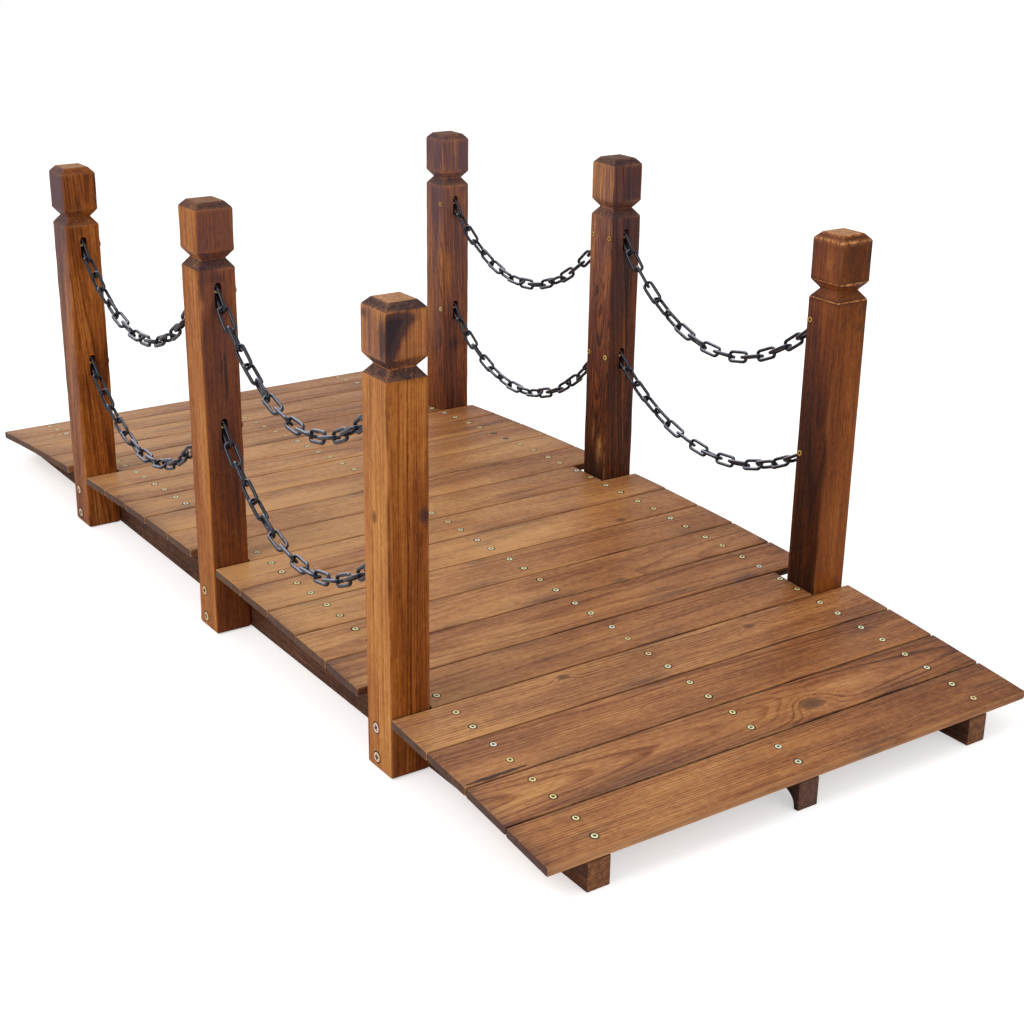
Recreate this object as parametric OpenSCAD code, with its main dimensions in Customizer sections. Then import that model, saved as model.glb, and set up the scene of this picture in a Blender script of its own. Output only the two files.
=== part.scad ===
// Small arched garden bridge: a boarded deck on three stringers, six carved posts and eight
// hanging chains. +X runs along the span to the near end, -Y is the left side, +Z is up.
// The origin is on the floor under the middle of the deck.

/* [Deck] */
// Length of the deck from end to end
deck_l = 1524; // [1300:2:1800]
// Length of the full deck boards, across the bridge
deck_w = 670; // [560:2:800]
// How far the deck's ends lie below its middle
deck_rise = 44.5; // [30:0.5:55]
// Height of the deck's top at the middle, above the floor
deck_h = 92; // [84:1:120]
// Number of deck boards from end to end
board_count = 21; // [19:2:23]
// Thickness of the deck boards
board_t = 11; // [8:0.5:16]
// Gap between neighbouring deck boards
board_gap = 1.2; // [0.6:0.2:6]
// Easing of the deck boards' long edges
board_ease = 2; // [1:0.5:3.5]

/* [Stringers] */
// Thickness of the three stringers
stringer_t = 28; // [20:1:40]
// How far the stringers stop short of the deck's ends
stringer_inset = 5; // [2:1:20]
// How far the middle stringer stands to the right of the deck's middle
middle_shift = 4; // [0:1:15]
// Height of the cut under the middle stringer
relief_h = 19; // [8:1:24]
// Length of the middle stringer's feet
foot_l = 6; // [4:1:40]
// Length of the bevel on the stringers' top corners
bevel_l = 26; // [10:1:40]
// Depth of the bevel on the stringers' top corners
bevel_h = 3; // [1:0.5:5]

/* [Posts] */
// Width of the frame over the posts' outer faces
frame_w = 662; // [560:2:780]
// Side of the square posts
post_w = 50; // [42:1:60]
// Height of the four end posts
end_post_h = 524; // [460:1:620]
// Height of the two middle posts
middle_post_h = 549; // [480:1:640]
// Deck boards from one post to the next, both short boards included
post_step = 6; // [5:1:7]
// Easing of the posts' long edges
post_ease = 2.5; // [1:0.5:4]
// Height of the posts' plain heads, between groove and top bevel
head_h = 49.5; // [35:0.5:60]
// Depth of the groove under the heads
groove_d = 9; // [5:0.5:12]
// Height of the groove under the heads
groove_h = 21.5; // [14:0.5:26]
// Size of the bevel round the posts' tops
crown = 8; // [4:0.5:12]
// Size of the bevel round the posts' bottom ends
sole = 3; // [1:0.5:5]

/* [Chains] */
// Thickness of the links' wire
wire_d = 4.3; // [3.8:0.1:4.4]
// Inside length of a link
link_inner_l = 28; // [25:0.1:30]
// Outside width of a link
link_w = 16.6; // [16.2:0.1:17.5]
// Play between two links
link_play = 0.6; // [0.5:0.05:0.8]
// Length of the chains as a share of the straight line between their screws
slack_ratio = 1.16; // [1.08:0.01:1.25]
// Links left out of the lower right chain by the near post
links_short = 1; // [0:1:1]
// Most that a link turns away from square to the link before it, in degrees
link_swing = 22; // [12:1:22]
// Distance of the upper chain screws below the posts' tops
upper_drop = 107; // [100:1:125]
// Distance between the upper and the lower chain screws
level_gap = 169; // [140:1:180]

/* [Chain screws] */
// Thickness of the screws that hold the chains
pin_d = 4; // [3:0.1:4.5]
// Length of the screws that hold the chains
pin_l = 40; // [36:1:44]
// Width of the screws' heads
pin_head_d = 8; // [6:0.5:9]
// Depth of the screws' heads
pin_head_h = 2.6; // [2:0.1:3.5]
// Distance of the screws behind the post's face
pin_inset = 6; // [5:0.5:8]
// Width of the pockets that the end links go into
pocket_w = 9.5; // [7:0.5:12]
// Depth of the pockets
pocket_depth = 16; // [15:0.5:18]
// Reach of the pockets above the screws
pocket_rise = 12; // [10:0.5:14]

/* [Hidden] */
// clearance between pieces of wood that bear on each other
wood_gap = 0.1;
// clearance between a board's end or edge and a post
post_gap = 0.5;
// clearance round a screw in its hole, and of a link over its pocket's lip
pin_gap = 0.1;
lip_gap = 0.4;
// what a cut reaches past the face that it opens
over = 1;
arc_fn = 720;
edge_fn = 48;
wire_fn = 32;
bisections = 40;
quarter = 90;
half_turn = 180;

side_names = ["left", "right"];
place_names = ["far", "middle", "near"];
level_names = ["upper", "lower"];
bay_names = ["far", "near"];
stringer_names = ["left", "middle", "right"];
levels = [0, 1];
sides = [0, 1];
places = [0, 1, 2];
bays = [0, 1];

function board_name(i) = str("deck_board_", i < 9 ? "0" : "", i + 1);
function stringer_name(i) = str(stringer_names[i], "_stringer");
function post_name(p, s) = str(place_names[p], "_", side_names[s], "_post");
function screws_name(p, s) = str(place_names[p], "_", side_names[s], "_chain_screws");
function chain_name(b, s, v) = str(bay_names[b], "_", side_names[s], "_", level_names[v], "_chain");

// the deck's arc: radius of its top, and the height of its centre
arc_r = (pow(deck_l / 2, 2) + pow(deck_rise, 2)) / (2 * deck_rise);
arc_z = deck_h - arc_r;
half_boards = (board_count - 1) / 2;
board_angle = asin((deck_l + board_gap) / 2 / arc_r) / (board_count / 2);
board_pitch = 2 * arc_r * tan(board_angle / 2);
board_w = board_pitch - board_gap;

// the frame stands flush with the deck on the left and inside it on the right
frame_y = (frame_w - deck_w) / 2;
post_y = [frame_y - (frame_w - post_w) / 2, frame_y + (frame_w - post_w) / 2];
inner_y = [post_y[0] + post_w / 2, post_y[1] - post_w / 2];
stringer_y = [inner_y[0] + wood_gap, middle_shift - stringer_t / 2, inner_y[1] - stringer_t - wood_gap];
stringer_l = deck_l - 2 * stringer_inset;

function board_turn(i) = (i - half_boards) * board_angle;
function is_short(i) = abs(i - half_boards) % post_step == 0 && abs(i - half_boards) <= post_step;

// lowest x of a board's far edge, which leans with the board
function board_edge_x(i) =
    min(arc_r * sin(board_turn(i)), (arc_r - board_t) * sin(board_turn(i)))
    - board_w / 2 * cos(board_turn(i));

// a post stands against the full board on the near side of its short board
function post_x(p) = board_edge_x(half_boards + (p - 1) * post_step + 1) - post_gap - post_w / 2;
function post_h(p) = p == 1 ? middle_post_h : end_post_h;
function post_faces(p) = p == 0 ? [1] : p == 1 ? [-1, 1] : [-1];
function pin_z(p, v) = post_h(p) - upper_drop - v * level_gap;
function pin_x(p, face) = post_x(p) + face * (post_w / 2 - pin_inset);

// a chain hangs in the curve of its own weight between two screws: lengths run from its lowest point
function sinh(t) = (exp(t) - exp(-t)) / 2;
function cosh(t) = (exp(t) + exp(-t)) / 2;
function asinh(t) = ln(t + sqrt(t * t + 1));
function atanh(t) = ln((1 + t) / (1 - t)) / 2;
function solve_sag(ratio, lo, hi, steps) =
    let (mid = (lo + hi) / 2)
    steps == 0 ? mid
    : sinh(mid) / mid < ratio ? solve_sag(ratio, mid, hi, steps - 1)
    : solve_sag(ratio, lo, mid, steps - 1);

link_pitch = link_inner_l - link_play;
link_bend_r = (link_w - wire_d) / 2;
link_straight = link_inner_l + wire_d - 2 * link_bend_r;
pin_reach = (pin_d + link_play) / 2;

function chain_a(b, v) = [pin_x(b, 1), pin_z(b, v)];
function chain_b(b, v) = [pin_x(b + 1, -1), pin_z(b + 1, v)];
function links(b, s, v) =
    round((slack_ratio * norm(chain_b(b, v) - chain_a(b, v)) + 2 * pin_reach) / link_pitch)
    - (b == 1 && s == 1 && v == 1 ? links_short : 0);

// the chains of the near bay wind half a turn along their run, but for the one that is a link short
function twists(b, s, v) = b == 1 && !(s == 1 && v == 1) ? 1 : 0;
// half waves in which the rest of the turning comes and goes, and the way that it starts
function waves(b, s, v) = twists(b, s, v) > 0 ? 1 : 4 - v;
function way(b, s, v) = twists(b, s, v) > 0 ? 1 : -1;

// [scale, x of the lowest point, height of the curve's base, length from the lowest point to the start]
function hang(a, b, run) =
    let (
        span = b[0] - a[0],
        fall = b[1] - a[1],
        sag = solve_sag(sqrt(run * run - fall * fall) / span, 0.001, 10, bisections),
        scale = span / 2 / sag,
        low_x = (a[0] + b[0]) / 2 - scale * atanh(fall / run)
    )
    [scale, low_x, a[1] - scale * cosh((a[0] - low_x) / scale), scale * sinh((a[0] - low_x) / scale)];
function hang_x(h, length) = h[1] + h[0] * asinh((length + h[3]) / h[0]);
function hang_point(h, length) =
    let (x = hang_x(h, length))
    [x, h[2] + h[0] * cosh((x - h[1]) / h[0])];
function hang_slope(h, x) = atan(sinh((x - h[1]) / h[0]));
function chain_hang(b, s, v) =
    hang(chain_a(b, v), chain_b(b, v), links(b, s, v) * link_pitch - 2 * pin_reach);

// the pockets reach as far below the screws as the steepest end link needs
steepest = max([for (b = bays, s = sides, v = levels)
    let (h = chain_hang(b, s, v))
    max(abs(hang_slope(h, chain_a(b, v)[0])), abs(hang_slope(h, chain_b(b, v)[0])))]);
pocket_r = pocket_w / 2;
pocket_round = pocket_r - sqrt(pow(pocket_r, 2) - pow(wire_d / 2, 2));
pocket_fall = pin_inset * tan(steepest) + link_w / 2 / cos(steepest) + pocket_round + lip_gap;

module eased_rect(w, h, r) {
    square([w - 2 * r, h], center = true);
    square([w, h - 2 * r], center = true);
    for (x = [-1, 1], y = [-1, 1])
        translate([x * (w / 2 - r), y * (h / 2 - r)])
            circle(r, $fn = edge_fn);
}

module deck_board(i) {
    low = is_short(i) ? inner_y[0] + post_gap : -deck_w / 2;
    high = is_short(i) ? inner_y[1] - post_gap : deck_w / 2;
    color(i % 3 == 0 ? "sienna" : i % 3 == 1 ? "peru" : "chocolate")
        translate([0, high, arc_z])
            rotate([0, board_turn(i), 0])
                translate([0, 0, arc_r - board_t / 2])
                    rotate([90, 0, 0])
                        linear_extrude(high - low)
                            eased_rect(board_w, board_t, board_ease);
}

// a plank on edge whose top follows the deck, bevelled at the ends of its top
module stringer_side() {
    bevel_z = arc_z + sqrt(pow(arc_r - board_t, 2) - pow(stringer_l / 2, 2)) - bevel_h;
    difference() {
        intersection() {
            translate([-stringer_l / 2, 0])
                square([stringer_l, deck_h]);
            translate([0, arc_z])
                circle(arc_r - board_t - wood_gap, $fn = arc_fn);
        }
        for (end = [-1, 1])
            scale([end, 1])
                polygon([
                    [stringer_l / 2 - bevel_l, deck_h],
                    [stringer_l / 2 - bevel_l, bevel_z + bevel_h + bevel_l * tan(board_angle * half_boards)],
                    [stringer_l / 2, bevel_z],
                    [stringer_l / 2 + over, bevel_z],
                    [stringer_l / 2 + over, deck_h]
                ]);
    }
}

// the middle stringer is cut away underneath and stands on a short foot at each end
module relief() {
    reach = stringer_l / 2 - foot_l - relief_h;
    translate([-reach, -over])
        square([2 * reach, relief_h + over]);
    for (end = [-1, 1])
        translate([end * reach, 0])
            circle(relief_h, $fn = edge_fn);
}

module stringer(i) {
    color("saddlebrown")
        translate([0, stringer_y[i] + stringer_t, 0])
            rotate([90, 0, 0])
                linear_extrude(stringer_t)
                    difference() {
                        stringer_side();
                        if (i == 1)
                            relief();
                    }
}

// half of a post's outline, mirrored by the caller: sole, shaft, groove, head and crown
module post_outline(h) {
    half = post_w / 2;
    shaft = h - crown - head_h - groove_h;
    for (side = [-1, 1])
        scale([side, 1])
            polygon([
                [0, 0],
                [half - sole, 0],
                [half, sole],
                [half, shaft],
                [half - groove_d, shaft + groove_h / 2],
                [half, shaft + groove_h],
                [half, h - crown],
                [half - crown, h],
                [0, h]
            ]);
}

module pocket() {
    rotate([0, 90, 0])
        linear_extrude(pocket_depth + over) {
            for (z = [-pocket_rise + pocket_r, pocket_fall - pocket_r])
                translate([z, 0])
                    circle(pocket_r, $fn = edge_fn);
            translate([-pocket_rise + pocket_r, -pocket_r])
                square([pocket_rise + pocket_fall - 2 * pocket_r, pocket_w]);
        }
}

// a countersunk screw that points along +Y, with its head's face at the origin
module pin(gap) {
    rotate([-90, 0, 0]) {
        cylinder(d1 = pin_head_d + 2 * gap, d2 = pin_d + 2 * gap, h = pin_head_h + gap, $fn = wire_fn);
        cylinder(d = pin_d + 2 * gap, h = pin_l + gap, $fn = wire_fn);
    }
}

// screws go in from the deck, so those on the left point to -Y
module pin_places(p, s) {
    for (face = post_faces(p), v = levels)
        translate([pin_x(p, face), inner_y[s], pin_z(p, v)])
            rotate([0, 0, s == 0 ? half_turn : 0])
                children();
}

module post(p, s) {
    h = post_h(p);
    color(s == 0 ? "peru" : "saddlebrown")
        difference() {
            translate([post_x(p), post_y[s], 0])
                intersection() {
                    linear_extrude(h)
                        eased_rect(post_w, post_w, post_ease);
                    for (turn = [0, 90])
                        rotate([90, 0, turn])
                            linear_extrude(2 * post_w, center = true)
                                post_outline(h);
                }
            for (face = post_faces(p), v = levels)
                translate([post_x(p) + face * (post_w / 2 + over), post_y[s], pin_z(p, v)])
                    rotate([0, 0, face > 0 ? half_turn : 0])
                        pocket();
            pin_places(p, s)
                pin(pin_gap);
        }
}

module chain_screws(p, s) {
    color("goldenrod")
        pin_places(p, s)
            pin(0);
}

// a link about the origin, long way along X and flat in the XZ plane
module chain_link() {
    rotate([90, 0, 0]) {
        for (end = [0, half_turn])
            rotate([0, 0, end])
                translate([link_straight / 2, 0, 0])
                    rotate([0, 0, -90])
                        rotate_extrude(angle = half_turn, $fn = edge_fn)
                            translate([link_bend_r, 0])
                                circle(d = wire_d, $fn = wire_fn);
        for (side = [-1, 1])
            translate([-link_straight / 2, side * link_bend_r, 0])
                rotate([0, 90, 0])
                    cylinder(d = wire_d, h = link_straight, $fn = wire_fn);
    }
}

// each link spans one pitch of the curve and is turned about a quarter round from the last
module chain(b, s, v) {
    count = links(b, s, v);
    h = chain_hang(b, s, v);
    turn_step = half_turn * (round((count - 1) / 2) + twists(b, s, v)) / (count - 1);
    wave_step = half_turn * waves(b, s, v) / (count - 1);
    swing = way(b, s, v) * (link_swing - abs(turn_step - quarter)) / 2 / sin(wave_step / 2);
    color("dimgray")
        for (i = [0 : count - 1]) {
            from = hang_point(h, i * link_pitch - pin_reach);
            to = hang_point(h, (i + 1) * link_pitch - pin_reach);
            sway = swing * sin(wave_step * i);
            translate([(from[0] + to[0]) / 2, post_y[s], (from[1] + to[1]) / 2])
                rotate([0, -atan2(to[1] - from[1], to[0] - from[0]), 0])
                    rotate([i * turn_step + sway, 0, 0])
                        chain_link();
        }
}

for (i = [0 : board_count - 1])
    deck_board(i);
for (i = places)
    stringer(i);
for (p = places, s = sides)
    post(p, s);
for (p = places, s = sides)
    chain_screws(p, s);
for (b = bays, s = sides, v = levels)
    chain(b, s, v);
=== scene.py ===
import math
import random
import bpy
import bmesh
import numpy as np
from mathutils import Matrix, Vector


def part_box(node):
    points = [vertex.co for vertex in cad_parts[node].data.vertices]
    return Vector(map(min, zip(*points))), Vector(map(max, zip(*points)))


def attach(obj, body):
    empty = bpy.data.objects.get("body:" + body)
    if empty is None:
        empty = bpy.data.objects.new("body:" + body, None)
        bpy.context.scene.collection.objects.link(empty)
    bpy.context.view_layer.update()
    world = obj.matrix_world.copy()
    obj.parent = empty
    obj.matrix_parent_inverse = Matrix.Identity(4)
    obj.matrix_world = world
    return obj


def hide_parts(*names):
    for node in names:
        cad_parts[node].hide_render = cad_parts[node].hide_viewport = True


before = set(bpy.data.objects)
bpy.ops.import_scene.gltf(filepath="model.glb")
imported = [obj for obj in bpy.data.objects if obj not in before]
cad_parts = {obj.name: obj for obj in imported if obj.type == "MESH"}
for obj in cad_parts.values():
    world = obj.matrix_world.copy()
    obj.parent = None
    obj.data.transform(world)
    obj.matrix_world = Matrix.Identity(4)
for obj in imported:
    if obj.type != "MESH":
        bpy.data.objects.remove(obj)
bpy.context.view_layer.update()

scene = bpy.context.scene


# shader helpers
class Wire:
    # one output of a shader node; arithmetic on it adds Math nodes
    def __init__(self, shader, socket):
        self.shader, self.socket = shader, socket

    def at(self, name):
        return Wire(self.shader, self.socket.node.outputs[name])

    def __add__(self, other):
        return self.shader.math("ADD", self, other)

    def __sub__(self, other):
        return self.shader.math("SUBTRACT", self, other)

    def __rsub__(self, other):
        return self.shader.math("SUBTRACT", other, self)

    def __mul__(self, other):
        return self.shader.math("MULTIPLY", self, other)

    def __truediv__(self, other):
        return self.shader.math("DIVIDE", self, other)

    def __pow__(self, other):
        return self.shader.math("POWER", self, other)

    def __abs__(self):
        return self.shader.math("ABSOLUTE", self)

    __radd__ = __add__
    __rmul__ = __mul__


class Shader:
    # the nodes of a new material, or of an owner such as the world
    def __init__(self, name, owner=None):
        self.owner = owner or bpy.data.materials.new(name)
        self.owner.use_nodes = True
        self.tree = self.owner.node_tree
        self.tree.nodes.clear()

    def node(self, kind, settings=None, sockets=None, out=0):
        made = self.tree.nodes.new("ShaderNode" + kind)
        for key, value in (settings or {}).items():
            if key == "stops":
                ramp = made.color_ramp.elements
                while len(ramp) < len(value):
                    ramp.new(0.5)
                for stop, (place, colour) in zip(ramp, value):
                    stop.position, stop.color = place, (*colour, 1)
            else:
                setattr(made, key, value)
        for key, value in (sockets or {}).items():
            if isinstance(value, Wire):
                self.tree.links.new(value.socket, made.inputs[key])
            else:
                made.inputs[key].default_value = value
        return Wire(self, made.outputs[out]) if len(made.outputs) else None

    def math(self, operation, *values):
        return self.node("Math", {"operation": operation}, dict(enumerate(values)))

    def rise(self, value, low, high):
        # 0 at low, smoothly up to 1 at high
        return self.node("MapRange", {"interpolation_type": "SMOOTHSTEP"},
                         {"Value": value, "From Min": low, "From Max": high})

    def fall(self, value, low, high):
        return 1 - self.rise(value, low, high)

    def vector(self, x, y, z):
        return self.node("CombineXYZ", {}, {"X": x, "Y": y, "Z": z})

    def stretch(self, vector, factors):
        return self.node("VectorMath", {"operation": "MULTIPLY"}, {0: vector, 1: factors})

    def shift(self, vector, offset):
        return self.node("VectorMath", {"operation": "ADD"}, {0: vector, 1: offset})

    def distance(self, a, b):
        return self.node("VectorMath", {"operation": "DISTANCE"}, {0: a, 1: b}, "Value")

    def dot(self, a, b):
        return self.node("VectorMath", {"operation": "DOT_PRODUCT"}, {0: a, 1: b}, "Value")

    def attribute(self, name, out="Vector"):
        return self.node("Attribute", {"attribute_name": name}, {}, out)

    def noise(self, vector, detail=2.0, rough=0.5):
        return self.node("TexNoise", {}, {"Vector": vector, "Scale": 1.0, "Detail": detail,
                                          "Roughness": rough}, "Fac")

    def mix(self, factor, a, b, blend="MIX"):
        return self.node("Mix", {"data_type": "RGBA", "blend_type": blend},
                         {0: factor, 6: a if isinstance(a, Wire) else (*a, 1),
                          7: b if isinstance(b, Wire) else (*b, 1)}, 2)

    def ramp(self, value, stops):
        return self.node("ValToRGB", {"stops": stops}, {0: value}, "Color")

    def bump(self, height, distance, strength=1.0):
        return self.node("Bump", {}, {"Height": height, "Distance": distance, "Strength": strength})

    def finish(self, sockets):
        surface = self.node("BsdfPrincipled", {}, sockets)
        self.node("OutputMaterial", {}, {"Surface": surface})
        return self.owner


def tint(r, g, b):
    # a colour given as it looks on screen, 0 to 255
    shares = (c / 255 for c in (r, g, b))
    return tuple(c / 12.92 if c <= 0.04045 else ((c + 0.055) / 1.055) ** 2.4 for c in shares)


# mesh helpers
def waves(rng, low, high, count=5):
    # a smooth random line between -1 and 1 along a length in metres
    parts = [(rng.uniform(low, high), rng.uniform(0, 6.3), rng.uniform(0.4, 1)) for _ in range(count)]
    total = sum(p[2] for p in parts)
    return lambda t: sum(a * np.sin(k * t + p) for k, p, a in parts) / total


def skin(rows, around, closed=False, start=0):
    # quads over rows of rings, and a face on each end where they aren't closed on themselves
    j = np.arange(around)
    k = (j + 1) % around
    faces = []
    for i in range(rows if closed else rows - 1):
        a, b = start + i * around, start + (i + 1) % rows * around
        faces.extend(np.stack([a + j, a + k, b + k, b + j], 1).tolist())
    if not closed:
        faces.append((start + j[::-1]).tolist())
        faces.append((start + (rows - 1) * around + j).tolist())
    return faces


def meshFrom(name, points, faces):
    mesh = bpy.data.meshes.new(name)
    mesh.from_pydata(np.asarray(points, float).reshape(-1, 3).tolist(), [], faces)
    shell = bmesh.new()
    shell.from_mesh(mesh)
    bmesh.ops.recalc_face_normals(shell, faces=shell.faces)
    shell.to_mesh(mesh)
    shell.free()
    return mesh


def lay(mesh, name, values):
    # a number or a vector at each point of the mesh
    values = np.asarray(values, np.float32)
    layer = mesh.attributes.new(name, "FLOAT_VECTOR" if values.ndim == 2 else "FLOAT", "POINT")
    layer.data.foreach_set("vector" if values.ndim == 2 else "value", values.ravel())


def pointsOf(mesh):
    points = np.zeros(len(mesh.vertices) * 3)
    mesh.vertices.foreach_get("co", points)
    return points.reshape(-1, 3)


def piece(name, mesh, materials, slot, *nodes, sharp=40):
    thing = bpy.data.objects.new(name, mesh)
    scene.collection.objects.link(thing)
    for material in materials:
        mesh.materials.append(material)
    mesh.shade_smooth()
    mesh.set_sharp_from_angle(angle=math.radians(sharp))
    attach(thing, "root")
    if nodes:
        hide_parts(*nodes)
    return thing


def smoothed(corners, steps=3, longest=0.004):
    # a line of (inset, height, rounding) corners, with each corner rounded and long runs divided
    line = [corners[0][:2]]
    for before, here, after in zip(corners, corners[1:], corners[2:]):
        b = np.array(here[:2])
        a = b + (np.array(before[:2]) - b) * min(0.45, here[2] / math.dist(before[:2], b))
        c = b + (np.array(after[:2]) - b) * min(0.45, here[2] / math.dist(after[:2], b))
        for t in np.linspace(0, 1, steps + 1):
            line.append(tuple((1 - t) ** 2 * a + 2 * t * (1 - t) * b + t * t * c))
    line.append(corners[-1][:2])
    full = [line[0]]
    for a, b in zip(line, line[1:]):
        parts = max(1, math.ceil(math.dist(a, b) / longest))
        full += [tuple(np.array(a) + (np.array(b) - np.array(a)) * i / parts) for i in range(1, parts + 1)]
    return full


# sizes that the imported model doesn't carry by itself
deck = {
    "length": 1.524, "width": 0.670, "rise": 0.0445, "height": 0.092, "count": 21, "thick": 0.011,
    "gap": 0.0012, "ease": 0.002, "woodGap": 0.0001,
    "screwRows": (-0.2655, -0.001, 0.268), "screwOffset": 0.2258,
}
arcR = ((deck["length"] / 2) ** 2 + deck["rise"] ** 2) / (2 * deck["rise"])
arcZ = deck["height"] - arcR
boardTurn = math.asin((deck["length"] + deck["gap"]) / 2 / arcR) / (deck["count"] / 2)
boardPitch = 2 * arcR * math.tan(boardTurn / 2)
boardWidth = boardPitch - deck["gap"]


def onBoard(k, along, across, up):
    # a board's own lengths to the bridge's: along the board, over its width, above its top
    turn = k * boardTurn
    x = (arcR + up) * math.sin(turn) + across * math.cos(turn)
    z = arcZ + (arcR + up) * math.cos(turn) - across * math.sin(turn)
    return np.stack(np.broadcast_arrays(x, along, z), -1)


# wood: colours from light to dark, those of cut ends and worn edges, the growth rings' spacing and
# wander, how strongly each kind of line or patch shows, and the gloss
woods = {
    "deck": {
        "stops": [(0.0, tint(222, 164, 102)), (0.25, tint(189, 128, 76)), (0.5, tint(151, 92, 50)),
                  (0.75, tint(106, 58, 30)), (1.0, tint(56, 31, 20))],
        "ends": (tint(98, 68, 54), tint(42, 28, 25)), "worn": tint(210, 158, 104),
        "spacing": 0.0030, "wander": 0.010,
        "late": 0.4, "fibre": 0.6, "fine": 0.6, "pore": 0.16, "mottle": 0.5, "cloud": 0.8, "smoke": 0.42,
        "rough": 0.4, "specular": 0.2,
    },
    "post": {
        "stops": [(0.0, tint(228, 162, 84)), (0.25, tint(192, 122, 56)), (0.5, tint(150, 82, 30)),
                  (0.75, tint(104, 51, 16)), (1.0, tint(52, 26, 12))],
        "ends": (tint(214, 160, 116), tint(146, 100, 70)), "worn": tint(212, 144, 88),
        "spacing": 0.0019, "wander": 0.006,
        "late": 0.24, "fibre": 0.8, "fine": 0.3, "pore": 0.16, "mottle": 0.34, "cloud": 0.75, "smoke": 0.18,
        "rough": 0.46, "specular": 0.11,
    },
    "stringer": {
        "stops": [(0.0, tint(184, 124, 76)), (0.5, tint(114, 68, 40)), (1.0, tint(44, 26, 18))],
        "ends": (tint(162, 106, 66), tint(58, 36, 26)), "worn": tint(190, 140, 96),
        "spacing": 0.003, "wander": 0.006,
        "late": 0.5, "fibre": 0.8, "fine": 0.5, "pore": 0.2, "mottle": 0.8, "cloud": 0.5, "smoke": 0.3,
        "rough": 0.6, "specular": 0.2,
    },
}
smokeTint, burntTint, scorchTint = tint(82, 62, 62), tint(30, 22, 24), tint(46, 36, 42)
# the tint of a pale violet veil, partly the wood's own cast and partly painted sheen
veilAndSheenTint = tint(120, 85, 88)


def addKnots(s, spot, radial, knots, squash):
    # bends the growth rings round each knot, and gives the knots' dark cores with them
    core = None
    for x, y, z, r, pull in knots:
        away = s.distance(s.stretch(spot, squash), tuple(a * b for a, b in zip((x, y, z), squash)))
        away = away + (s.noise(s.stretch(spot, (240, 240, 240)), 3) - 0.5) * r * 0.5
        reach = away / (2.2 * r)
        radial = radial + s.math("POWER", math.e, 0 - reach * reach) * (1.3 * r * pull)
        rings = s.math("SINE", away * 3200) * 0.5 + 0.5
        mark = s.fall(away, 0.6 * r, 1.2 * r) * (0.62 + rings * 0.3)
        mark = mark + s.fall(abs(away - r), 0, 0.2 * r) * 0.3
        core = mark if core is None else s.math("MAXIMUM", core, mark)
    return radial, core


def addSplits(s, spot, grain, core, splits):
    # short cracks along the grain, as dark as the knots
    for place, reach in splits:
        scale = tuple(1 / c for c in reach)
        away = s.distance(s.stretch(spot, scale), tuple(a * b for a, b in zip(place, scale)))
        away = away + (s.noise(s.stretch(grain, (120, 300, 300)), 3) - 0.5) * 1.3
        core = s.math("MAXIMUM", core, s.fall(away, 0.55, 0.95) * 1.15)
    return core


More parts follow.
